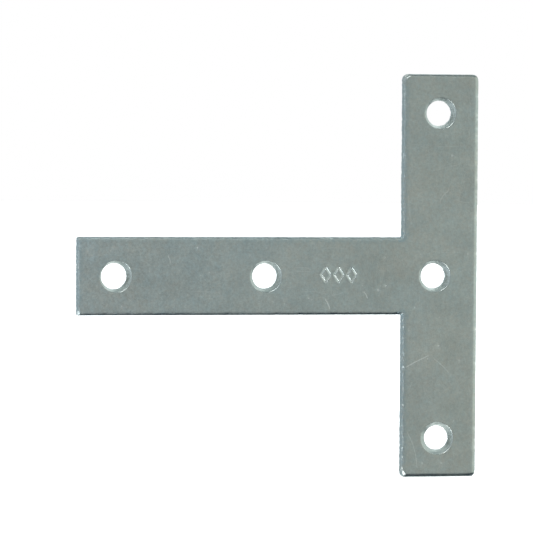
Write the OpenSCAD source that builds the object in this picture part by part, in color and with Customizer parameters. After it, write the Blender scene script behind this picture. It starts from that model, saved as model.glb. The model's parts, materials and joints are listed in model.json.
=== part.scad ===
// Flat T plate: one stamped piece of zinc-plated steel sheet with five countersunk screw holes.
// The bar stands upright along Z and the arm points to -X. The countersunk front face looks
// along -Y and the flat back lies in the plane Y = 0. The origin is on the axis of the junction
// hole, the one where the arm meets the bar, at the back face.

/* [Plate] */
// Length of the bar
bar_h = 101.6; // [96:0.1:127]
// Width of the bar
bar_w = 19.3; // [17:0.1:22]
// Whole width of the plate, from the end of the arm to the far edge of the bar
plate_w = 101.6; // [99:0.1:127]
// Width of the arm
arm_w = 19.5; // [16:0.1:24]
// Thickness of the sheet
sheet_t = 2; // [1.6:0.1:3]

/* [Corners and edges] */
// Radius of the four corners of the bar
bar_corner_r = 1.4; // [1:0.1:3]
// Radius of the two corners at the end of the arm
arm_corner_r = 0.6; // [0.6:0.1:2]
// Radius in the two corners between the arm and the bar
inner_corner_r = 0.4; // [0.2:0.1:3]
// Width of the softened edge, measured across the front face
soft_w = 0.5; // [0.2:0.05:0.55]
// Depth of the softened edge, measured down the side
soft_d = 0.35; // [0.15:0.05:0.5]

/* [Screw holes] */
// Diameter of the straight part of every hole
hole_d = 6.4; // [4:0.1:7]
// Diameter of every countersink at the front face
countersink_d = 8.2; // [7.4:0.1:8.6]
// Full angle of every countersink
countersink_angle = 82; // [78:1:100]
// Distance between the holes at the two ends of the bar
bar_hole_pitch = 82; // [70:0.1:84]
// Distance between the two holes in the arm
arm_hole_pitch = 38; // [25:0.1:40]
// Distance from the junction hole to the nearer hole in the arm
arm_hole_gap = 43.1; // [25:0.1:43.5]
// How far the junction hole sits from the bar's centre line, towards the arm
junction_shift = 1.5; // [0:0.1:3]
// How far the bar's end holes sit from its centre line, towards the arm
end_hole_shift = 0.3; // [0:0.1:2]

/* [Hidden] */
$fn = 96;

// How far a cutter stands clear of the metal
clear = 1;

// Places in the drawing of the front view, X to the right and Y up
bar_x = junction_shift;
bar_left = bar_x - bar_w / 2;
bar_right = bar_x + bar_w / 2;
bar_top = bar_h / 2;
arm_left = bar_right - plate_w;
arm_top = arm_w / 2;
end_hole_x = bar_x - end_hole_shift;
near_hole_x = -arm_hole_gap;
far_hole_x = near_hole_x - arm_hole_pitch;
countersink_depth = (countersink_d - hole_d) / 2 / tan(countersink_angle / 2);

hole_places = [
    [0, 0],
    [near_hole_x, 0],
    [far_hole_x, 0],
    [end_hole_x, bar_hole_pitch / 2],
    [end_hole_x, -bar_hole_pitch / 2],
];

// Rectangle between two opposite corners, all four of its own corners rounded
module rounded_rectangle(low, high, r) {
    span = high - low;
    translate(low) {
        translate([r, 0]) square([span.x - 2 * r, span.y]);
        translate([0, r]) square([span.x, span.y - 2 * r]);
        for (x = [r, span.x - r], y = [r, span.y - r])
            translate([x, y]) circle(r);
    }
}

// Fillet in the upper inner corner, where the arm's top edge meets the bar
module inner_fillet() {
    translate([bar_left - inner_corner_r, arm_top])
        difference() {
            translate([0, -clear]) square([inner_corner_r + clear, inner_corner_r + clear]);
            translate([0, inner_corner_r]) circle(inner_corner_r);
        }
}

module outline() {
    rounded_rectangle([bar_left, -bar_top], [bar_right, bar_top], bar_corner_r);
    rounded_rectangle([arm_left, -arm_top], [bar_x, arm_top], arm_corner_r);
    for (side = [0, 1]) mirror([0, side]) inner_fillet();
}

// Section of what the softened edge takes away: x is the distance out from the side of the
// plate, and y the height above the front face
module soft_section() {
    polygon([[-soft_w, 0], [0, -soft_d], [clear, -soft_d], [clear, clear], [-soft_w, clear]]);
}

// Takes the edge off one straight side that runs from one point to another, metal on the right
module soft_side(from, to) {
    run = to - from;
    translate([from.x, from.y, sheet_t])
        rotate([0, 0, atan2(run.y, run.x)])
            rotate([90, 0, 90])
                linear_extrude(norm(run)) soft_section();
}

// Takes the edge off a quarter round outer corner about a centre
module soft_corner(centre, r, start) {
    translate([centre.x, centre.y, sheet_t])
        rotate([0, 0, start])
            rotate_extrude(angle = 90) translate([r, 0]) soft_section();
}

// Takes the edge off the upper inner corner
module soft_inner_corner() {
    translate([bar_left - inner_corner_r, arm_top + inner_corner_r, sheet_t])
        rotate([0, 0, -90])
            rotate_extrude(angle = 90)
                polygon([
                    [0, clear],
                    [0, -soft_d],
                    [inner_corner_r, -soft_d],
                    [inner_corner_r + soft_w, 0],
                    [inner_corner_r + soft_w, clear],
                ]);
}

// Softened edge along the upper half of the plate; the lower half is its mirror image
module soft_upper_edge() {
    soft_side([arm_left, 0], [arm_left, arm_top - arm_corner_r]);
    soft_corner([arm_left + arm_corner_r, arm_top - arm_corner_r], arm_corner_r, 90);
    soft_side([arm_left + arm_corner_r, arm_top], [bar_left - inner_corner_r, arm_top]);
    soft_inner_corner();
    soft_side([bar_left, arm_top + inner_corner_r], [bar_left, bar_top - bar_corner_r]);
    soft_corner([bar_left + bar_corner_r, bar_top - bar_corner_r], bar_corner_r, 90);
    soft_side([bar_left + bar_corner_r, bar_top], [bar_right - bar_corner_r, bar_top]);
    soft_corner([bar_right - bar_corner_r, bar_top - bar_corner_r], bar_corner_r, 0);
    soft_side([bar_right, bar_top - bar_corner_r], [bar_right, 0]);
}

// Straight hole with a cone that opens to the countersink's diameter at the front face
module countersunk_hole() {
    slope = (countersink_d - hole_d) / 2 / countersink_depth;
    translate([0, 0, -clear])
        cylinder(h = sheet_t + 2 * clear, d = hole_d);
    translate([0, 0, sheet_t - countersink_depth])
        cylinder(
            h = countersink_depth + clear,
            d1 = hole_d,
            d2 = countersink_d + 2 * slope * clear
        );
}

module t_plate() {
    color([0.60, 0.63, 0.62])
        rotate([90, 0, 0])
            difference() {
                linear_extrude(sheet_t) outline();
                for (side = [0, 1]) mirror([0, side, 0]) soft_upper_edge();
                for (place = hole_places) translate([place.x, place.y, 0]) countersunk_hole();
            }
}

t_plate();
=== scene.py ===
"""Looks of the flat T plate: stamped steel sheet, zinc plated, with five countersunk screw holes.

The plate is one closed mesh. Rings of points run round its outline and round every hole, from the
front face over the rolled edge, down the sheared side and onto the back, and the two flat faces are
filled between the innermost rings. A relief in real depth then adds the marks that a stamped and
handled plate has. Lengths are in millimetres until the mesh is made.
"""

import json
import math
import random

import bmesh
import bpy
import numpy as np
from mathutils import Matrix, Vector, geometry, noise


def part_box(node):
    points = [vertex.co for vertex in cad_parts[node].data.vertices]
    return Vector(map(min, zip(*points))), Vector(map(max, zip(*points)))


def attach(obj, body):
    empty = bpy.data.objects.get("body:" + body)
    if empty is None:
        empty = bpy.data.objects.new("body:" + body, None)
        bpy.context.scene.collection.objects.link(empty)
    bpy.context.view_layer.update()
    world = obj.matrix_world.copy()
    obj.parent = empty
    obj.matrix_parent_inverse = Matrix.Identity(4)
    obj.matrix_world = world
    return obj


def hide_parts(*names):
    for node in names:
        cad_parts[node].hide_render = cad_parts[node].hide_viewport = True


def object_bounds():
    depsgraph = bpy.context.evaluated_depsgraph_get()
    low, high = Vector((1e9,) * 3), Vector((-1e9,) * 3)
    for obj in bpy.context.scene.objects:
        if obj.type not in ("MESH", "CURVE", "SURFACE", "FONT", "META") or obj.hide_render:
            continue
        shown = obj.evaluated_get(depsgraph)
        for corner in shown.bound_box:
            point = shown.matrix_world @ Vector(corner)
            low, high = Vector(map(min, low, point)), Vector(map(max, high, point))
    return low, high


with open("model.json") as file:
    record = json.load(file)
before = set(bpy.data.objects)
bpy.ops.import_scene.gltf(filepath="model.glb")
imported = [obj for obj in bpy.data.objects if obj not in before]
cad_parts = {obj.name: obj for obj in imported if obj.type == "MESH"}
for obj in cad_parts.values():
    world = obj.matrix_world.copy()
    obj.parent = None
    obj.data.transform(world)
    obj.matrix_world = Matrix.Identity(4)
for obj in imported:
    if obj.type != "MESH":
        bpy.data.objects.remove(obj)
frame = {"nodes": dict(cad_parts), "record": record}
cad_low, cad_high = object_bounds()

MM = 0.001
rng = random.Random(20)

# ---------------------------------------------------------------- sizes, in millimetres

BAR_CORNER_R = 1.4
ARM_CORNER_R = 0.3
INNER_CORNER_R = 0.4
LEAST_R = 0.04  # an inset corner never gets sharper than this

ROLL_WIDTH = 1.0  # edge rolled over by the stamping die, measured across the face
ROLL_DEPTH = 0.42
SHEAR_DEPTH = 1.25  # the smooth cut ends here and the torn part of the side begins
TEAR_INSET = 0.02  # how far the torn part draws back from the cut part
SIDE_BURR = 0.02  # how far the sides stand out from the outline
BOTTOM_BURR = 0.16  # and how far the bar's lower end does
BACK_BEVEL = 0.04
INNER_DIM_REACH = 1.3  # the sides are roughened and painted darker this far round the inner corners, a painted shade that dims their glint

MOUTH_R = 4.06  # countersink
CONE_HALF_ANGLE = math.radians(41)
LIP_R = (0.07, 0.32)  # least and greatest rounding between the face and the cone
LIP_SIDE = math.radians(-20)  # where the rounding is greatest, from the right of the hole
LOW_SIDE = math.radians(-95)  # where the cone's painted shade is least, so it is painted brightest, counted in the same way
CHATTER = 0.008  # height of the fine rings that the punch left in the cone
BACK_RIM = 0.05
BACK_RING = 0.35  # width of the ring of mesh round each hole on the back

# The metal that the punch pushed up round each hole
SWELL_GAP, SWELL_WIDTH, SWELL_HEIGHT = 0.35, 0.5, 0.012

# The bar was cut to length by a blunter tool, which rolled its upper (1) and its lower end (-1)
# over by this much more of the depth, up to a limit
END_ROLLS = ((1, 0.35), (-1, 0.75))
END_ROLL_WIDTH, END_ROLL_LIMIT = 1.6, 0.22

# Finish of the metal, as shares of: the punched countersink, which also carries its painted light; the
# torn side; polish; and the countersink's painted shade
PLAIN = (0, 0, 0, 0)
HALF_FORMED_AND_LIT = (0.5, 0, 0, 0)
HALF_TORN = (0, 0.5, 0, 0)

# Spacing of the mesh points
OUTLINE_STEP = 0.3
HOLE_POINTS = 112
FACE_STEP = 0.85
BACK_STEP = 2.2
FINE_STEP = 0.07
FINE_CELL = 0.9  # a square of the face this wide that holds fine points gets no coarse ones

NICK_COUNT = 110
HAIRLINE_COUNT = 40
DING_COUNT = 50

# The holes were not all punched alike. For each: how far the countersink is off the hole's axis
# (across, up), and how much larger than usual the countersink's and the hole's radius are
PUNCHING = {
    "junction": (0.20, 0.0, -0.04, -0.06),
    "arm_far": (0.36, -0.06, -0.07, 0.03),
    "arm_near": (0.15, -0.09, -0.07, -0.06),
    "bar_top": (0.18, 0.03, -0.08, 0.02),
    "bar_bottom": (-0.09, -0.06, 0.07, -0.15),
}


# ---------------------------------------------------------------- places, from the frame

def cad_points():
    mesh = frame["nodes"]["t_plate"].data
    points = np.empty(len(mesh.vertices) * 3)
    mesh.vertices.foreach_get("co", points)
    return points.reshape(-1, 3) / MM


def plate_places():
    """Edges of the T in the front view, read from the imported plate."""
    low, high = (np.array(corner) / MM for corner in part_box("t_plate"))
    points = cad_points()
    near_arm_end = points[points[:, 0] < low[0] + 5]
    near_bar_top = points[points[:, 2] > high[2] - 5]
    return {
        "left": low[0],
        "right": high[0],
        "top": high[2],
        "thickness": high[1] - low[1],
        "arm": near_arm_end[:, 2].max(),
        "bar_left": near_bar_top[:, 0].min(),
    }


def hole_places():
    """Name -> (x, z, radius) of every screw hole, from the record's mounts."""
    mounts = {m["name"]: m for m in frame["record"]["mounts"]}
    junction = mounts["junction_hole"]
    arm, ends = mounts["arm_holes"], mounts["bar_end_holes"]
    arm_x, half_arm = arm["pos_m"][0] / MM, arm["dims"]["spacing_x_mm"] / 2
    end_x, half_ends = ends["pos_m"][0] / MM, ends["dims"]["spacing_y_mm"] / 2
    r = junction["dims"]["r_mm"]
    return {
        "junction": (junction["pos_m"][0] / MM, junction["pos_m"][2] / MM, r),
        "arm_far": (arm_x - half_arm, 0.0, r),
        "arm_near": (arm_x + half_arm, 0.0, r),
        "bar_top": (end_x, half_ends, r),
        "bar_bottom": (end_x, -half_ends, r),
    }


PLATE = plate_places()
HOLES = hole_places()
THICKNESS = PLATE["thickness"]
ARM_MIDDLE = (PLATE["left"] + PLATE["bar_left"]) / 2
# Corners that were knocked flat: where the facet starts, and its slopes to the left and down
CORNER_FACETS = (
    (PLATE["bar_left"] + 1.1, 1.15 - PLATE["top"], 0.271, 0.212),
    (PLATE["left"] + 0.72, 0.76 - PLATE["arm"], 0.271, 0.212),
    (PLATE["bar_left"] + 0.9, PLATE["top"] - 1.0, 0.35, -0.6),
)


# ---------------------------------------------------------------- outline

def outline_corners():
    """The T's corners, anticlockwise from the lower right: (point, radius, is it an inner corner)."""
    right, top, arm = PLATE["right"], PLATE["top"], PLATE["arm"]
    left, bar_left = PLATE["left"], PLATE["bar_left"]
    return [
        ((right, -top), BAR_CORNER_R, False),
        ((right, top), BAR_CORNER_R, False),
        ((bar_left, top), BAR_CORNER_R, False),
        ((bar_left, arm), INNER_CORNER_R, True),
        ((left, arm), ARM_CORNER_R, False),
        ((left, -arm), ARM_CORNER_R, False),
        ((bar_left, -arm), INNER_CORNER_R, True),
        ((bar_left, -top), BAR_CORNER_R, False),
    ]


def inward(start, end):
    """Unit normal on the left of a side that runs from start to end."""
    run = np.subtract(end, start)
    return np.array([-run[1], run[0]]) / np.hypot(*run)


def outline(inset):
    """Points round the T, moved in by inset, and their outward directions. The count never changes."""
    corners = outline_corners()
    count = len(corners)
    arcs = []
    for i, (corner, radius, inner) in enumerate(corners):
        before = inward(corners[i - 1][0], corner)
        after = inward(corner, corners[(i + 1) % count][0])
        moved = np.array(corner) + inset * (before + after)
        r = radius + inset if inner else max(radius - inset, LEAST_R)
        side = 1 if inner else -1
        centre = moved - side * r * (before + after)
        turns = np.linspace(0, math.pi / 2, 9 if radius < 1 else 15)
        spokes = side * (np.outer(np.cos(turns), before) + np.outer(np.sin(turns), after))
        arcs.append((centre + r * spokes, -side * spokes if inner else spokes))
    points, directions = [], []
    for i, (arc, spokes) in enumerate(arcs):
        start, end = np.array(corners[i][0]), np.array(corners[(i + 1) % count][0])
        steps = round(np.hypot(*(end - start)) / OUTLINE_STEP)
        shares = np.linspace(0, 1, steps + 1)[1:-1, None]
        first, last = arc[-1], arcs[(i + 1) % count][0][0]
        points += [arc, first + shares * (last - first)]
        directions += [spokes, np.repeat([-inward(start, end)], steps - 1, axis=0)]
    return np.concatenate(points), np.concatenate(directions)


def edge_distance(x, z):
    """How far points inside the T are from its outline, with the creases at its corners softened."""
    right, top, arm = PLATE["right"], PLATE["top"], PLATE["arm"]
    left, bar_left = PLATE["left"], PLATE["bar_left"]
    sides = [right - x, top - z, top + z, x - left]
    for level in (z, -z):
        across = np.maximum(x - bar_left + INNER_CORNER_R, 0)
        down = np.maximum(arm - level + INNER_CORNER_R, 0)
        sides.append(np.hypot(across, down) - INNER_CORNER_R)
    sides = np.maximum(np.array(sides), 1e-3)
    return (sides ** -4).sum(axis=0) ** -0.25


def uneven(x, z, pitch, layer):
    """Smooth noise over the front view. Each layer has a pattern of its own."""
    return noise.noise((x * pitch, layer, z * pitch))


# ---------------------------------------------------------------- rings of points

def side_section():
    """(inset, depth) pairs down the plate's side, from the flat front to the flat back."""
    section = []
    for turn in np.linspace(0, math.pi / 2, 10):
        section.append((ROLL_WIDTH * (1 - math.sin(turn)), ROLL_DEPTH * (1 - math.cos(turn))))
    for share in (0.35, 0.7, 1):
        section.append((0, ROLL_DEPTH + share * (SHEAR_DEPTH - ROLL_DEPTH)))
    for share in (0.3, 0.65, 1):
        depth = SHEAR_DEPTH + share * (THICKNESS - BACK_BEVEL - SHEAR_DEPTH)
        section.append((TEAR_INSET * share, depth))
    section.append((TEAR_INSET + BACK_BEVEL * 0.3, THICKNESS - BACK_BEVEL * 0.3))
    section.append((TEAR_INSET + BACK_BEVEL, THICKNESS))
    section.append((TEAR_INSET + BACK_BEVEL * 4, THICKNESS))
    return section


def outline_rings():
    """Rings of points down the plate's side: (x, z, depth, outward directions, finish)."""
    rings = []
    for inset, depth in side_section():
        points, directions = outline(inset)
        x, z = points.T
        torn = min(max((depth - SHEAR_DEPTH) / 0.1, 0), 1)
        finish = np.zeros((len(x), 4))
        # Round the inner corners the sides are made rough and painted darker: a painted shade that dims
        # their glint
        in_corner = np.hypot(x - PLATE["bar_left"], np.abs(z) - PLATE["arm"]) < INNER_DIM_REACH
        ragged = np.array([0.45 * raggedness(*place) for place in zip(x, z, directions)])
        for knock_x, knock_z, _, _ in CORNER_FACETS:
            ragged[np.hypot(x - knock_x, z - knock_z) < 2.0] = 0  # a knock leaves it smooth
        finish[:, 1] = np.maximum(np.maximum(torn, 0.9 * in_corner), ragged)
        rings.append((x, z, np.full(len(x), depth), directions, finish))
    return rings


def hole_section(hole_r, mouth_r, turns):
    """Rows of (radius, depth, share of the countersink's error, finish), from front to back."""
    slope = math.tan(CONE_HALF_ANGLE)
    cone_depth = (mouth_r - hole_r) / slope
    turn_end = math.pi / 2 - CONE_HALF_ANGLE
    side = np.clip(np.cos(turns - LIP_SIDE), 0, 1)
    lip_r = LIP_R[0] + (LIP_R[1] - LIP_R[0]) * side ** 0.8
    reach = lip_r * math.tan(turn_end / 2)
    low = np.clip(np.cos(turns - LOW_SIDE), 0, 1) ** 2

    def finish(formed, polish, inward_shade):
        """Painted shade in the countersink: heaviest on the right and deeper in, least at the bottom,
        where the cone is painted brightest.
        """
        dull = np.maximum(0.5 * (1 - low), side * (0.5 + 0.55 * inward_shade) * (1 - 0.8 * low))
        none = np.zeros_like(side)
        return np.stack([none + formed, none, none + polish, formed * np.minimum(dull, 1)], axis=1)

    section = [(mouth_r + LIP_R[1], 0, 1, PLAIN)]
    for turn in np.linspace(0, turn_end, 8):
        radius = mouth_r + reach - lip_r * math.sin(turn)
        polish = math.sin(math.pi * turn / turn_end)
        section.append((radius, lip_r * (1 - math.cos(turn)), 1, finish(turn / turn_end, polish, 0)))
    lip_end = section[-1][1]
    for share in np.linspace(0.05, 0.95, 22):
        depth = lip_end + share * (cone_depth - lip_end)
        ripple = CHATTER * math.sin(share * 26) * side
        # The painted shade grows deeper into the cone
        inward_shade = 0.4 + 0.6 * min(max((share - 0.3) / 0.4, 0), 1)
        section.append((mouth_r - depth * slope + ripple, depth, 1 - share, finish(1, 0, inward_shade)))
    # The hole's wall gets half of the countersinks' painted light
    section.append((hole_r + 0.01, cone_depth + 0.03, 0, HALF_FORMED_AND_LIT))
    for share in (0.15, 0.5, 0.85):
        depth = cone_depth + share * (THICKNESS - BACK_RIM - cone_depth)
        section.append((hole_r, depth, 0, HALF_TORN))
    section.append((hole_r + 0.01, THICKNESS - BACK_RIM, 0, HALF_TORN))
    section.append((hole_r + BACK_RIM * 0.4, THICKNESS - BACK_RIM * 0.3, 0, HALF_TORN))
    section.append((hole_r + BACK_RIM, THICKNESS, 0, PLAIN))
    section.append((hole_r + BACK_RING, THICKNESS, 0, PLAIN))
    return section


def hole_rings(name):
    """Rings of points down one hole's wall, in the same form as the outline's."""
    x0, z0, hole_r = HOLES[name]
    across, up, wider_mouth, wider_hole = PUNCHING[name]
    turns = np.linspace(0, 2 * math.pi, HOLE_POINTS, endpoint=False)
    directions = -np.stack([np.cos(turns), np.sin(turns)], axis=1)
    rings = []
    for radius, depth, share, finish in hole_section(hole_r + wider_hole, MOUTH_R + wider_mouth, turns):
        x = x0 + share * across - radius * directions[:, 0]
        z = z0 + share * up - radius * directions[:, 1]
        rings.append((x, z, np.broadcast_to(depth, x.shape), directions, finish))
    return rings


# ---------------------------------------------------------------- marks on the front face

def stroke_points(path, rows, step):
    """Extra mesh points along a path, in rows at the given distances to each side."""
    points = []
    for (x0, z0), (x1, z1) in zip(path, path[1:]):
        length = math.hypot(x1 - x0, z1 - z0)
        side = ((z0 - z1) / length, (x1 - x0) / length)
        for share in np.linspace(0, 1, max(2, round(length / step) + 1)):
            x, z = x0 + share * (x1 - x0), z0 + share * (z1 - z0)
            points += [(x + row * side[0], z + row * side[1]) for row in rows]
    return points


def path_distance(x, z, path):
    """How far each point is from a path."""
    nearest = np.full(x.shape, 1e9)
    for (x0, z0), (x1, z1) in zip(path, path[1:]):
        dx, dz = x1 - x0, z1 - z0
        share = np.clip(((x - x0) * dx + (z - z0) * dz) / (dx * dx + dz * dz), 0, 1)
        nearest = np.minimum(nearest, np.hypot(x - x0 - share * dx, z - z0 - share * dz))
    return nearest


def curve_between(start, end, bow, steps=10):
    """A gently bowed line from start to end."""
    run = np.subtract(end, start)
    side = np.array([-run[1], run[0]])
    return [
        tuple(np.array(start) + share * run + 4 * bow * share * (1 - share) * side)
        for share in np.linspace(0, 1, steps + 1)
    ]


def stamped_mark():
    """Three small diamonds in a row, the plate's generic press mark."""
    middle, raised = ARM_MIDDLE + 24.9, 0.3
    half_wide, half_high, pitch = 1.2, 1.9, 3.3
    paths = []
    for i in (-1, 0, 1):
        x = middle + i * pitch
        corners = [(x + half_wide, 0), (x, half_high), (x - half_wide, 0), (x, -half_high)]
        paths.append([(cx, cz + raised) for cx, cz in corners + corners[:1]])
    return paths


# The marks that show from a distance, placed from the junction hole: start, end, bow, width, depth
LONG_SCRATCHES = (
    ((-6.7, -22.9), (-1.5, -20.3), 0.02, 0.10, 0.030),
    ((0.4, -21.0), (3.9, -24.2), 0.03, 0.10, 0.014),
    ((-6.4, -39.6), (-3.9, -48.0), 0.06, 0.09, 0.014),
    ((1.6, 18.9), (3.4, 21.3), 0.10, 0.11, 0.012),
    ((-27.6, -6.0), (-26.6, -8.1), 0.04, 0.10, 0.026),
    ((-17.8, -4.0), (-17.0, -5.4), 0.05, 0.10, 0.022),
    ((-67.6, 5.2), (-67.0, 3.4), 0.05, 0.10, 0.020),
    ((-35.2, 2.2), (-32.0, 2.0), 0.02, 0.08, 0.012),
    ((-35.0, 1.2), (-31.4, 1.1), 0.02, 0.08, 0.010),
    ((-61.6, -3.8), (-55.0, -4.0), 0.01, 0.09, 0.008),
    ((-60.4, -5.0), (-54.0, -4.9), 0.01, 0.09, 0.007),
)
# The brightest knocks, made paler as a painted glint: place, radius, depth
DEEP_DINGS = (
    (-1.3, -20.9, 0.13, 0.050),
    (1.5, -17.6, 0.13, 0.050),
    (-6.2, -13.8, 0.12, 0.040),
    (-59.3, 0.2, 0.14, 0.035),
    (-57.2, 1.0, 0.12, 0.035),
    (-70.6, 0.5, 0.13, 0.030),
    (-31.9, -5.6, 0.12, 0.040),
    (-12.2, -2.4, 0.14, 0.050),
    (-12.4, 4.7, 0.12, 0.030),
    (-79.2, -7.4, 0.12, 0.040),
)


def hairlines(count):
    """Fine handling scratches in all directions, kept on the flat of the face."""
    lines = []
    while len(lines) < count:
        x, z = random_face_point()
        angle = rng.choice([0, 0, 0.3, 1.2, 1.57, 2.2, 2.8]) + rng.gauss(0, 0.25)
        length = rng.uniform(1.5, 7)
        end = (x + length * math.cos(angle), z + length * math.sin(angle))
        if is_on_flat(*end) and is_on_flat((x + end[0]) / 2, (z + end[1]) / 2):
            path = curve_between((x, z), end, rng.uniform(-0.06, 0.06), 5)
            lines.append((path, rng.uniform(0.06, 0.08), rng.uniform(0.003, 0.008)))
    return lines


def is_on_flat(x, z, margin=1.4):
    """Whether a place is on the plate's face, clear of its edges and holes."""
    on_plate = PLATE["left"] < x < PLATE["right"] and abs(z) < PLATE["top"]
    on_plate = on_plate and (x > PLATE["bar_left"] or abs(z) < PLATE["arm"])
    if not on_plate or edge_distance(np.array([x]), np.array([z]))[0] < margin:
        return False
    return all(math.hypot(x - hx, z - hz) > MOUTH_R + 0.7 for hx, hz, _ in HOLES.values())


def random_face_point():
    while True:
        x = rng.uniform(PLATE["left"], PLATE["right"])
        z = rng.uniform(-PLATE["top"], PLATE["top"])
        if is_on_flat(x, z):
            return x, z


def dings(count):
    """(x, z, radius, depth) of small knocks, most of them very shallow."""
    knocks = []
    for _ in range(count):
        x, z = random_face_point()
        radius = rng.uniform(0.12, 0.3)
        knocks.append((x, z, radius, radius * rng.uniform(0.03, 0.12)))
    return knocks


MARK = stamped_mark()
MARK_WIDTH, MARK_DEPTH = 0.17, 0.09
SCRATCHES = [
    (curve_between(start, end, bow), width, depth)
    for start, end, bow, width, depth in LONG_SCRATCHES
] + hairlines(HAIRLINE_COUNT)
DINGS = [*DEEP_DINGS, *dings(DING_COUNT)]


def furrow(gap, lip, lip_at, lip_sharpness, sharpness=1.0):
    """Section of a mark in the metal: a hollow 1 deep, with a lip pushed up beside it."""
    raised = lip * np.exp(-((gap - lip_at) ** 2) * lip_sharpness)
    return raised - np.exp(-gap * gap * sharpness)


def face_relief(x, z):
    """Height of the front face above its plane, and how much paler its marks are made, partly as rubbed
    metal and partly as a painted glint, at each point.
    """
    height = np.zeros(x.shape)
    worn_and_glint = np.zeros(x.shape)
    waves = [uneven(*place, 0.07, 0.3) for place in zip(x, z)]
    ripples = [uneven(*place, 0.33, 5.1) for place in zip(x, z)]
    height += 0.016 * np.array(waves) + 0.0035 * np.array(ripples)
    for hx, hz, _ in HOLES.values():
        gap = (np.hypot(x - hx, z - hz) - MOUTH_R - SWELL_GAP) / SWELL_WIDTH
        height += SWELL_HEIGHT * np.exp(-gap * gap)
    for path in MARK:
        gap = path_distance(x, z, path) / MARK_WIDTH
        height += MARK_DEPTH * furrow(gap, 0.35, 1.5, 2.5)
        # The mark's grooves are made paler: a painted highlight along the strokes
        worn_and_glint += 0.2 * np.exp(-gap * gap)
    for path, width, depth in SCRATCHES:
        ends = np.array(path)
        low, high = ends.min(axis=0) - 0.6, ends.max(axis=0) + 0.6
        near = (x > low[0]) & (x < high[0]) & (z > low[1]) & (z < high[1])
        gap = path_distance(x[near], z[near], path) / width
        height[near] += depth * furrow(gap, 0.4, 1.4, 2)
        # Scratches are made paler with depth: partly rubbed metal, partly a painted glint
        worn_and_glint[near] += depth / 0.035 * np.exp(-gap * gap * 0.7)
    for dx, dz, radius, depth in DINGS:
        gap = np.hypot(x - dx, z - dz) / radius
        height += depth * furrow(gap, 0.3, 1.2, 4, 1.5)
        # Knocks are made paler with depth: partly rubbed metal, partly a painted glint
        worn_and_glint += min(1, depth / 0.06) * np.exp(-gap * gap * 0.7)
    return height, np.clip(worn_and_glint, 0, 1)


def relief_points():
    """Extra mesh points where the relief is fine."""
    points = []
    for path in MARK:
        points += stroke_points(path, (-0.42, -0.25, -0.12, 0, 0.12, 0.25, 0.42), 0.14)
    for path, width, _ in SCRATCHES:
        rows = [width * row for row in (-2.2, -1.1, 0, 1.1, 2.2)]
        points += stroke_points(path, rows, 0.24)
    for x, z, radius, _ in DINGS:
        points.append((x, z))
        for share, around in ((0.45, 6), (0.9, 9), (1.5, 12)):
            reach = share * radius
            for turn in np.linspace(0, 2 * math.pi, around, endpoint=False):
                points.append((x + reach * math.cos(turn), z + reach * math.sin(turn)))
    return points


# ---------------------------------------------------------------- the mesh

def grid_points(step, margin, hole_margin):
    """A jittered triangular grid over the T, clear of its edges and holes."""
    points = []
    row_step = step * 0.866
    rows = int(2 * PLATE["top"] / row_step) + 1
    for row in range(rows):
        z = -PLATE["top"] + row * row_step
        x = PLATE["left"] + (row % 2) * step / 2
        while x < PLATE["right"]:
            points.append((x + rng.uniform(-0.2, 0.2) * step, z + rng.uniform(-0.2, 0.2) * step))
            x += step
    return keep_on_face(points, margin, hole_margin)


def keep_on_face(points, margin, hole_margin):
    """Drops points that are off the face or too near its edges or holes."""
    points = np.array(points)
    x, z = points.T
    inside = (x > PLATE["bar_left"]) | (np.abs(z) < PLATE["arm"])
    inside &= edge_distance(x, z) > margin
    for hx, hz, _ in HOLES.values():
        inside &= np.hypot(x - hx, z - hz) > hole_margin
    return points[inside]


def thinned(points, least):
    """Drops points that are closer than least to one already kept."""
    kept, cells = [], {}
    for x, z in points:
        cell = (math.floor(x / least), math.floor(z / least))
        near = [cells.get((cell[0] + i, cell[1] + j)) for i in (-1, 0, 1) for j in (-1, 0, 1)]
        if all(p is None or math.hypot(p[0] - x, p[1] - z) >= least for p in near):
            cells[cell] = (x, z)
            kept.append((x, z))
    return kept


class PlateMesh:
    """Collects points and faces; a point is (x, z, depth below the front face)."""

    def __init__(self):
        self.points, self.directions, self.finish = [], [], []
        self.faces = []
        self.count = 0

    def add(self, x, z, depth, directions, finish=PLAIN):
        first = self.count
        self.points.append(np.stack([x, z, depth], axis=1))
        self.directions.append(directions)
        self.finish.append(np.broadcast_to(finish, (len(x), 4)))
        self.count += len(x)
        return list(range(first, self.count))

    def add_rings(self, rings):
        indices = [self.add(*ring) for ring in rings]
        for upper, lower in zip(indices, indices[1:]):
            size = len(upper)
            for i in range(size):
                j = (i + 1) % size
                self.faces.append((upper[i], lower[i], lower[j], upper[j]))
        return indices[0], indices[-1]

    def fill(self, loops, loose, depth):
        """Triangulates a flat face inside its first loop and outside the others."""
        known = np.concatenate(self.points)
        ids = [i for loop in loops for i in loop]
        flat = [Vector(known[i, :2]) for i in ids] + [Vector(p) for p in loose]
        none = np.zeros((len(loose), 2))
        ids += self.add(*np.array(loose).T, np.full(len(loose), depth), none)
        edges, start = [], 0
        for loop in loops:
            size = len(loop)
            edges += [(start + i, start + (i + 1) % size) for i in range(size)]
            start += size
        made, _, triangles, source, _, _ = geometry.delaunay_2d_cdt(flat, edges, [], 1, 1e-7)
        middles = np.array([sum((made[i] for i in t), Vector((0, 0))) / 3 for t in triangles])
        inside = np.ones(len(triangles), bool)
        for loop in loops[1:]:
            rim = known[loop, :2]
            centre = rim.mean(axis=0)
            radius = np.hypot(*(rim[0] - centre))
            inside &= np.hypot(*(middles - centre).T) > radius * 0.999
        for keep, triangle in zip(inside, triangles):
            if keep:
                self.faces.append(tuple(ids[source[i][0]] for i in triangle))


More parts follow.
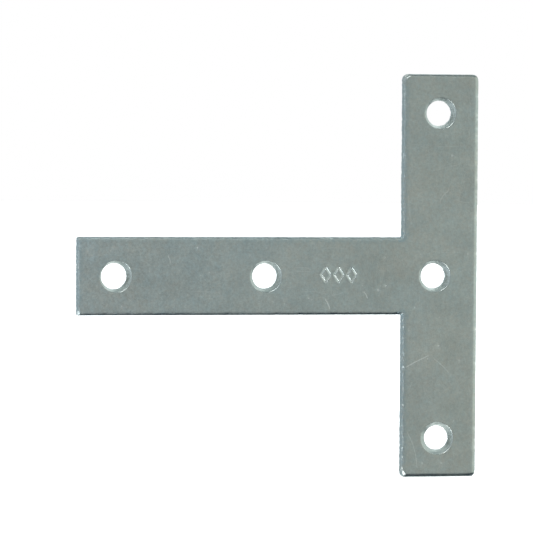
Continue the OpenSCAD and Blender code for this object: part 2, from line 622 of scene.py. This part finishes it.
def push_out(points, directions, on_side):
    """How far each point of the cut sides is pushed out: a wander, a grain and the burr."""
    x, z, depth = points.T
    torn = np.clip((depth - SHEAR_DEPTH) / (THICKNESS - SHEAR_DEPTH), 0, 1)
    push = np.zeros(len(x))
    for i in np.flatnonzero(on_side):
        wander = 0.03 * uneven(x[i], z[i], 0.5, depth[i] * 0.15)
        grain = (0.025 + 0.09 * torn[i]) * uneven(x[i], z[i], 2.6, depth[i] * 1.3)
        push[i] = wander + grain + SIDE_BURR
        if z[i] < 1 - PLATE["top"]:
            push[i] += (BOTTOM_BURR - SIDE_BURR) * max(-directions[i][1], 0)
    return push


def edge_wear(points, directions, outline_count):
    """Unevenness of the cut sides and the rolled edge; the outline's points come first."""
    x, z, depth = points.T
    length = np.hypot(*directions.T)
    push = push_out(points, directions, (length > 0.5) & (depth > 0.02))
    moved = points.copy()
    strength = np.minimum(depth / ROLL_DEPTH, 1) * push
    moved[:, 0] += directions[:, 0] * strength
    moved[:, 1] += directions[:, 1] * strength
    rolled = np.flatnonzero((length > 0.5) & (depth > 1e-4) & (depth < ROLL_DEPTH + 0.1))
    for i in rolled:
        lift = 0.024 * uneven(x[i], z[i], 1.5, 3.3) + 0.02 * uneven(x[i], z[i], 0.4, 8.1)
        if i < outline_count:
            fine = 1.5 * uneven(x[i], z[i], 8.3, 2.7)
            fine += 0.8 * uneven(x[i], z[i], 3.1, 9.2)
            lift += 0.095 * raggedness(x[i], z[i], directions[i]) * fine
        moved[i, 2] += lift * min(depth[i] / 0.06, 1)
    for side, more in END_ROLLS:
        at_end = rolled[side * z[rolled] > PLATE["top"] - END_ROLL_WIDTH]
        moved[at_end, 2] += np.minimum(more * depth[at_end], END_ROLL_LIMIT)
    for inner_x, inner_z, slope_x, slope_z in CORNER_FACETS:
        down = slope_x * (inner_x - x[rolled]) + slope_z * (inner_z - z[rolled])
        down[np.hypot(x[rolled] - inner_x, z[rolled] - inner_z) > 2.2] = 0
        moved[rolled, 2] = np.maximum(moved[rolled, 2], np.minimum(down, ROLL_DEPTH * 0.96))
    return moved


def raggedness(x, z, direction):
    """The punch was blunt on the left, so the sides that face left are torn up most."""
    if direction[0] < -0.5:
        return 1.0
    if direction[1] > 0.5 and x < PLATE["bar_left"]:
        return 0.35 + 0.5 * (x > ARM_MIDDLE)
    return 0.1


def nicks(points, directions):
    """Small dents along the rolled edge."""
    rim, outward = outline(0)
    moved = points.copy()
    worn_and_glint = np.zeros(len(points))
    for _ in range(NICK_COUNT):
        i = rng.randrange(len(rim))
        radius, bite = rng.uniform(0.18, 0.45), rng.uniform(0.02, 0.09)
        centre = np.array([*(rim[i] - outward[i] * 0.15), 0.1])
        gap = np.linalg.norm((points - centre) * (1, 1, 0.8), axis=1) / radius
        near = gap < 2.5
        fall = bite * np.exp(-gap[near] ** 2)
        moved[near, 0] -= outward[i][0] * fall * 0.6
        moved[near, 1] -= outward[i][1] * fall * 0.6
        moved[near, 2] += fall * 0.8
        # The dents are made paler, partly as bare metal and partly as a painted glint
        worn_and_glint[near] += fall / 0.09 * 0.5
    return moved, worn_and_glint


def add_object(name, data):
    made = bpy.data.objects.new(name, data)
    bpy.context.scene.collection.objects.link(made)
    return made


def cell_of(place):
    return round(place[0] / FINE_CELL), round(place[1] / FINE_CELL)


def build_plate():
    """The whole plate as one closed mesh, with its finish, its rubbed marks and its painted light and
    shade in layers for the material.
    """
    plate = PlateMesh()
    outer = outline_rings()
    holes = {name: hole_rings(name) for name in HOLES}
    front_outer, back_outer = plate.add_rings(outer)
    front_loops, back_loops = [front_outer], [back_outer]
    for rings in holes.values():
        front, back = plate.add_rings(rings)
        front_loops.append(front)
        back_loops.append(back)
    lip = holes["junction"][0][0].max() - HOLES["junction"][0]
    fine = thinned(relief_points(), FINE_STEP)
    fine = keep_on_face(fine, ROLL_WIDTH + 0.25, lip + 0.25)
    busy = {cell_of(place) for place in fine}
    coarse = grid_points(FACE_STEP, ROLL_WIDTH + 0.4, lip + 0.4)
    coarse = [place for place in coarse if cell_of(place) not in busy]
    plate.fill(front_loops, [*map(tuple, fine), *map(tuple, coarse)], 0.0)
    rim = HOLES["junction"][2] + BACK_RING
    loose = [tuple(p) for p in grid_points(BACK_STEP, 1.2, rim + 0.9)]
    plate.fill(back_loops, loose, THICKNESS)

    points = np.concatenate(plate.points)
    directions = np.concatenate(plate.directions)
    flat = points.copy()
    points = edge_wear(points, directions, len(outer) * len(outer[0][0]))
    points, nicked = nicks(points, directions)
    is_front = flat[:, 2] < ROLL_DEPTH * 0.98
    height, worn_and_glint = face_relief(flat[is_front, 0], flat[is_front, 1])
    points[is_front, 2] -= height
    wear_and_glint = nicked.copy()
    wear_and_glint[is_front] += worn_and_glint

    coordinates = np.stack([points[:, 0], points[:, 2] - THICKNESS, points[:, 1]], axis=1) * MM
    mesh = bpy.data.meshes.new("t_plate_body")
    mesh.from_pydata(coordinates.tolist(), [], plate.faces)
    finish = np.concatenate(plate.finish)
    wear_and_glint = np.clip(wear_and_glint, 0, 1)
    layers = {"wear_and_glint": wear_and_glint}
    layers.update(zip(("formed", "torn", "polish", "dull"), finish.T))
    for name, values in layers.items():
        layer = mesh.attributes.new(name, "FLOAT", "POINT")
        layer.data.foreach_set("value", values.astype(np.float32))
    mesh.polygons.foreach_set("use_smooth", [True] * len(mesh.polygons))
    mesh.validate()
    turn_faces_out(mesh)
    return add_object("stamped_t_plate", mesh)


def turn_faces_out(mesh):
    work = bmesh.new()
    work.from_mesh(mesh)
    bmesh.ops.recalc_face_normals(work, faces=work.faces)
    work.to_mesh(mesh)
    work.free()


# ---------------------------------------------------------------- node helpers

class Nodes:
    """Adds nodes to a tree with their inputs set or linked in one call."""

    def __init__(self, tree):
        self.tree = tree
        tree.nodes.clear()

    def add(self, kind, inputs=None, **settings):
        node = self.tree.nodes.new(kind)
        for name, value in settings.items():
            setattr(node, name, value)
        for name, value in (inputs or {}).items():
            socket = node.inputs[name]
            if isinstance(value, bpy.types.NodeSocket):
                self.tree.links.new(value, socket)
            else:
                socket.default_value = value
        return node

    def math(self, operation, a, b=0.0):
        return self.add("ShaderNodeMath", {0: a, 1: b}, operation=operation).outputs[0]

    def noise(self, vector, scale, detail=2.0, roughness=0.5):
        inputs = {"Vector": vector, "Scale": scale, "Detail": detail, "Roughness": roughness}
        return self.add("ShaderNodeTexNoise", inputs).outputs["Fac"]

    def spread(self, value, low, high, to_low=0.0, to_high=1.0, smooth=True):
        kind = "SMOOTHSTEP" if smooth else "LINEAR"
        inputs = {"Value": value, "From Min": low, "From Max": high, "To Min": to_low, "To Max": to_high}
        return self.add("ShaderNodeMapRange", inputs, interpolation_type=kind).outputs["Result"]

    def mix(self, share, a, b, blend="MIX"):
        node = self.add("ShaderNodeMix", data_type="RGBA", blend_type=blend)
        for index, value in ((0, share), (6, a), (7, b)):
            if isinstance(value, bpy.types.NodeSocket):
                self.tree.links.new(value, node.inputs[index])
            else:
                node.inputs[index].default_value = value
        return node.outputs[2]

    def stretched(self, vector, scale):
        return self.add("ShaderNodeVectorMath", {0: vector, 1: scale}, operation="MULTIPLY").outputs[0]

    def patches(self, vector, shift, scale, detail, roughness, low, high, to_low=0.0, to_high=1.0):
        """Noise spread evenly between two values. Each shift gives a pattern of its own."""
        inputs = {0: vector, 1: (shift, shift, shift)}
        moved = self.add("ShaderNodeVectorMath", inputs, operation="ADD").outputs[0]
        pattern = self.noise(moved, scale, detail, roughness)
        return self.spread(pattern, low, high, to_low, to_high, smooth=False)

    def grey(self, value):
        return self.add("ShaderNodeCombineColor", {0: value, 1: value, 2: value}).outputs[0]


# Colours of the plating, its patches and its marks
ARM_ZINC = (0.522, 0.585, 0.602, 1)
BAR_ZINC = (0.514, 0.550, 0.527, 1)
BLUE_PATCH = (0.483, 0.566, 0.596, 1)
WARM_PATCH = (0.545, 0.543, 0.510, 1)
COOL_SPECK = (0.965, 1.007, 1.032, 1)
WARM_SPECK = (1.035, 0.993, 0.968, 1)
# Paler metal in the marks: partly rubbed metal, partly a painted glint
WORN_AND_GLINT = (0.90, 0.92, 0.92, 1)
# Painted light that makes the countersinks pale
PAINTED_CONE_LIGHT = (0.84, 0.885, 0.855, 1)
# Painted shade in the countersinks
PAINTED_SHADE_GREY = (0.33, 0.345, 0.315, 1)
# The torn sides' own colour, also laid round the inner corners as a painted shade
TORN_STEEL_AND_CORNER_SHADE = (0.40, 0.49, 0.52, 1)

# Patterns in the plating: shift, scale in 1/mm, detail, roughness, and the noise values between
# which it is spread
TINT = (0, 0.06, 7, 0.72, 0.36, 0.64)
WARMTH = (40, 0.09, 6, 0.72, 0.42, 0.66)
SPECKLE = (15, 0.9, 4, 0.75, 0.3, 0.7)
FLECKS = (90, 0.07, 9, 0.83, 0.3, 0.7)
PITS = (60, 1.7, 4, 0.8, 0.3, 0.7)
BLOTCHES = (25, 1.5, 3, 0.7, 0.35, 0.65)
SHREDS = (70, 2.2, 3, 0.7, 0.38, 0.62)


def zinc_material():
    """Bright zinc plating over cold-rolled sheet: cool grey, faintly mottled, satin."""
    material = bpy.data.materials.new("zinc_plated_steel")
    material.use_nodes = True
    n = Nodes(material.node_tree)
    place = n.add("ShaderNodeTexCoord").outputs["Object"]
    mm = n.stretched(place, (1000, 1000, 1000))
    wear_and_glint, formed, torn, polish, dull = (
        n.add("ShaderNodeAttribute", attribute_name=name).outputs["Fac"]
        for name in ("wear_and_glint", "formed", "torn", "polish", "dull")
    )

    # Patchy plating: bluer along the arm, tints that drift over centimetres, and fine flecks
    across, _, up = n.add("ShaderNodeSeparateXYZ", {0: mm}).outputs
    along = n.spread(across, PLATE["left"], PLATE["right"], smooth=False)
    tint = n.patches(mm, *TINT)
    warmth = n.patches(mm, *WARMTH)
    colour = n.mix(along, ARM_ZINC, BAR_ZINC)
    colour = n.mix(n.math("MULTIPLY", tint, 0.45), colour, BLUE_PATCH)
    colour = n.mix(n.math("MULTIPLY", warmth, 0.5), colour, WARM_PATCH)
    speckle = n.mix(n.patches(mm, *SPECKLE), WARM_SPECK, COOL_SPECK)
    colour = n.mix(1.0, colour, speckle, "MULTIPLY")
    flecks = n.patches(mm, *FLECKS, 0.875, 1.125)
    # The arm is pitted more deeply than the bar
    least = n.spread(across, PLATE["left"], PLATE["bar_left"], 0.80, 0.865)
    most = n.math("SUBTRACT", 2.0, least)
    pits = n.patches(mm, *PITS, least, most)
    shade = n.math("MULTIPLY", flecks, pits)
    # A little darker up the bar and a little lighter at the end of the arm
    shade = n.math("MULTIPLY", shade, n.spread(up, 8, 45, 1.0, 0.945))
    shade = n.math("MULTIPLY", shade, n.spread(across, -78, PLATE["left"], 1.0, 1.04))
    colour = n.mix(1.0, colour, n.grey(shade), "MULTIPLY")
    # Marks made paler, partly rubbed metal and partly a painted glint; then the countersinks' painted
    # light and painted shade; then the torn sides, and a painted shade round the inner corners
    colour = n.mix(n.math("MULTIPLY", wear_and_glint, 0.9), colour, WORN_AND_GLINT)
    # Painted light: the countersinks are made pale
    colour = n.mix(formed, colour, PAINTED_CONE_LIGHT)
    blotches = n.patches(mm, *BLOTCHES, 0.3, 1.0)
    # Painted shade in the countersinks, broken up by blotches
    colour = n.mix(n.math("MULTIPLY", dull, blotches), colour, PAINTED_SHADE_GREY)
    shreds = n.patches(mm, *SHREDS, 0.0, 1.7)
    # The torn sides' own colour, and round the inner corners a painted shade
    colour = n.mix(n.math("MULTIPLY", torn, shreds), colour, TORN_STEEL_AND_CORNER_SHADE)

    grain = n.noise(n.stretched(mm, (3.2, 3.2, 0.35)), 1.0, 3, 0.6)
    roughness = n.spread(grain, 0.3, 0.7, 0.30, 0.36, smooth=False)
    roughness = n.math("ADD", roughness, n.spread(warmth, 0, 1, -0.02, 0.03, smooth=False))
    roughness = n.math("SUBTRACT", roughness, n.math("MULTIPLY", wear_and_glint, 0.08))
    roughness = n.math("ADD", roughness, n.math("MULTIPLY", formed, 0.06))
    roughness = n.math("SUBTRACT", roughness, n.math("MULTIPLY", polish, 0.22))
    roughness = n.math("ADD", roughness, n.math("MULTIPLY", torn, 0.09))

    pebble = n.noise(mm, 3.1, 3, 0.55)
    height = n.math("ADD", n.math("MULTIPLY", pebble, 0.6), n.math("MULTIPLY", grain, 0.4))
    bump = n.add("ShaderNodeBump", {"Strength": 0.4, "Distance": 0.00006, "Height": height})

    shader = n.add("ShaderNodeBsdfPrincipled", {
        "Base Color": colour,
        "Metallic": 1.0,
        "Roughness": roughness,
        "Normal": bump.outputs["Normal"],
    })
    n.add("ShaderNodeOutputMaterial", {"Surface": shader.outputs["BSDF"]})
    return material


# ---------------------------------------------------------------- stage

FLOOR_R, FLOOR_SIDES = 3, 64
FLOOR_GAP = 0.0001  # between the floor and the plate
LAMP_SIZE, LAMP_POWER, LAMP_PLACE = 0.8, 14, (-0.3, -0.5, 1.3)


def floor_material():
    material = bpy.data.materials.new("pale_floor")
    material.use_nodes = True
    n = Nodes(material.node_tree)
    place = n.add("ShaderNodeTexCoord").outputs["Object"]
    mottle = n.spread(n.noise(place, 60.0, 3), 0.3, 0.7, 0.80, 0.82)
    # Seen at a flat angle the floor glows white: emission that grows as the view flattens, a painted
    # glare, with a faint glow when seen from above
    facing = n.add("ShaderNodeLayerWeight", {"Blend": 0.5}).outputs["Facing"]
    shader = n.add("ShaderNodeBsdfPrincipled", {
        "Base Color": n.grey(mottle),
        "Roughness": 0.9,
        "Emission Color": (1, 1, 1, 1),
        "Emission Strength": n.spread(facing, 0.76, 0.88, 0.12, 1.0),
    })
    n.add("ShaderNodeOutputMaterial", {"Surface": shader.outputs["BSDF"]})
    return material


def make_floor():
    turns = np.linspace(0, 2 * math.pi, FLOOR_SIDES + 1)[:-1]
    points = [(math.cos(turn) * FLOOR_R, math.sin(turn) * FLOOR_R, 0) for turn in turns]
    mesh = bpy.data.meshes.new("floor")
    mesh.from_pydata(points, [], [list(range(FLOOR_SIDES))])
    mesh.materials.append(floor_material())
    floor = add_object("floor", mesh)
    floor.location = ((cad_low.x + cad_high.x) / 2, 0, cad_low.z - FLOOR_GAP)
    floor.visible_glossy = False


# Soft lights all round: direction, where the light is full and where it ends (degrees), colour added
SOFT_LIGHTS = (
    ((-0.33, -0.83, 0.45), 2, 7, (3.0, 3.1, 3.0)),  # long lamp, upper left
    ((-0.27, -0.80, 0.54), 2, 7, (5.0, 5.1, 5.0)),
    ((-0.18, -0.76, 0.62), 2, 7, (6.0, 6.2, 6.0)),
    ((-0.07, -0.74, 0.67), 2, 7, (3.0, 3.1, 3.0)),
    ((-0.38, -0.87, -0.32), 2, 7, (4.0, 4.1, 4.0)),  # long lamp, lower left
    ((-0.32, -0.84, -0.43), 2, 7, (7.0, 7.2, 7.0)),
    ((-0.24, -0.81, -0.53), 2, 7, (5.0, 5.1, 5.0)),
    ((-0.17, -0.79, -0.59), 2, 6, (3.5, 3.6, 3.5)),
    ((-0.45, -0.02, 0.89), 8, 25, (0.24, 0.26, 0.26)),  # high on the left
    ((-0.85, -0.25, -0.45), 10, 50, (0.12, 0.15, 0.18)),  # wide glow, low on the far left
)

# Colours of the room, as the metal mirrors it
LEFT_WALL = (0.400, 0.452, 0.470, 1)
RIGHT_WALL = (0.375, 0.395, 0.38, 1)
FAR_LEFT_WALL = (0.475, 0.54, 0.56, 1)
BACK_WALL = (0.505, 0.585, 0.605, 1)
WINDOW_BESIDE = (0.53, 0.59, 0.525, 1)
WINDOW_BEHIND = (0.42, 0.51, 0.51, 1)
CEILING = (0.10, 0.15, 0.16, 1)
DARK_GROUND = (0.02, 0.035, 0.05, 1)
STEEP_PANELS = (1.25, 1.36, 1.36, 1)


def make_world():
    """White to the camera; to the metal, a grey room with soft lights in it."""
    world = bpy.data.worlds.new("studio")
    bpy.context.scene.world = world
    world.use_nodes = True
    n = Nodes(world.node_tree)
    direction = n.add("ShaderNodeTexCoord").outputs["Generated"]
    direction = n.add("ShaderNodeVectorMath", {0: direction}, operation="NORMALIZE").outputs[0]
    across, away, up = n.add("ShaderNodeSeparateXYZ", {0: direction}).outputs
    room = n.mix(n.spread(across, -0.25, 0.22), LEFT_WALL, RIGHT_WALL)
    room = n.mix(n.spread(across, -0.45, -0.85), room, FAR_LEFT_WALL)
    room = n.mix(n.spread(away, 0.4, 0.9), room, BACK_WALL)
    window = n.math("MULTIPLY", n.spread(across, 0.14, 0.52), n.spread(away, 0.75, 0.35))
    glass = n.mix(n.spread(away, 0.0, 0.3), WINDOW_BESIDE, WINDOW_BEHIND)
    room = n.mix(window, room, glass, "ADD")
    room = n.mix(n.spread(up, 0.42, 0.88), room, CEILING)
    below = n.math("MULTIPLY", n.spread(up, -0.25, -0.60), n.spread(across, -0.42, -0.12))
    room = n.mix(below, room, DARK_GROUND)
    # Bright panels beyond the plate, high and low, which light the walls of its holes
    steep = n.spread(n.math("ABSOLUTE", up), 0.5, 0.75)
    steep = n.math("MULTIPLY", steep, n.spread(away, -0.07, 0.215))
    room = n.mix(steep, room, STEEP_PANELS)
    for axis, inner, outer, colour in SOFT_LIGHTS:
        axis = Vector(axis).normalized()
        facing = n.add("ShaderNodeVectorMath", {0: direction, 1: axis}, operation="DOT_PRODUCT")
        share = n.spread(
            facing.outputs["Value"], math.cos(math.radians(outer)), math.cos(math.radians(inner))
        )
        room = n.mix(share, room, (*colour, 1), "ADD")
    white = n.add("ShaderNodeBackground", {"Color": (1, 1, 1, 1), "Strength": 1.0})
    grey = n.add("ShaderNodeBackground", {"Color": room, "Strength": 1.0})
    seen = n.add("ShaderNodeLightPath").outputs["Is Camera Ray"]
    either = n.add("ShaderNodeMixShader", {0: seen, 1: grey.outputs[0], 2: white.outputs[0]})
    n.add("ShaderNodeOutputWorld", {"Surface": either.outputs[0]})


def make_key_light():
    """A broad soft lamp above, for the floor's shadow."""
    lamp = bpy.data.lights.new("softbox", "AREA")
    lamp.size, lamp.energy = LAMP_SIZE, LAMP_POWER
    box = add_object("softbox", lamp)
    box.location = LAMP_PLACE
    box.rotation_euler = (-box.location).to_track_quat("-Z", "Y").to_euler()
    box.visible_camera = False
    box.visible_glossy = False


# Viewpoint: degrees to the left of square on and above, lean to the right, distance in metres
VIEW_LEFT, VIEW_ABOVE, VIEW_ROLL, VIEW_DISTANCE = 9.5, 2.55, 0.37, 0.841
AIM_LEFT, AIM_UP = 2.8, 0.08  # millimetres from the middle of the plate
LENS_MM, SENSOR_MM = 219.1, 36


def make_camera():
    left, above, roll = (math.radians(v) for v in (VIEW_LEFT, VIEW_ABOVE, VIEW_ROLL))
    flat = math.cos(above)
    forward = Vector((math.sin(left) * flat, math.cos(left) * flat, -math.sin(above)))
    level = Vector((math.cos(left), -math.sin(left), 0))
    upright = level.cross(forward)
    right = level * math.cos(roll) + upright * math.sin(roll)
    up = upright * math.cos(roll) - level * math.sin(roll)
    aim = Vector(((cad_low.x + cad_high.x) / 2 - AIM_LEFT * MM, cad_high.y, AIM_UP * MM))
    camera = add_object("camera", bpy.data.cameras.new("camera"))
    camera.data.lens, camera.data.sensor_width = LENS_MM, SENSOR_MM
    turned = Matrix((right, up, -forward)).transposed()
    camera.matrix_world = Matrix.Translation(aim - forward * VIEW_DISTANCE) @ turned.to_4x4()
    bpy.context.scene.camera = camera


# ---------------------------------------------------------------- assembly

plate = build_plate()
plate.data.materials.append(zinc_material())
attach(plate, "root")
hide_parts("t_plate")

make_floor()
make_world()
make_key_light()
make_camera()
bpy.context.scene.view_settings.view_transform = "Standard"
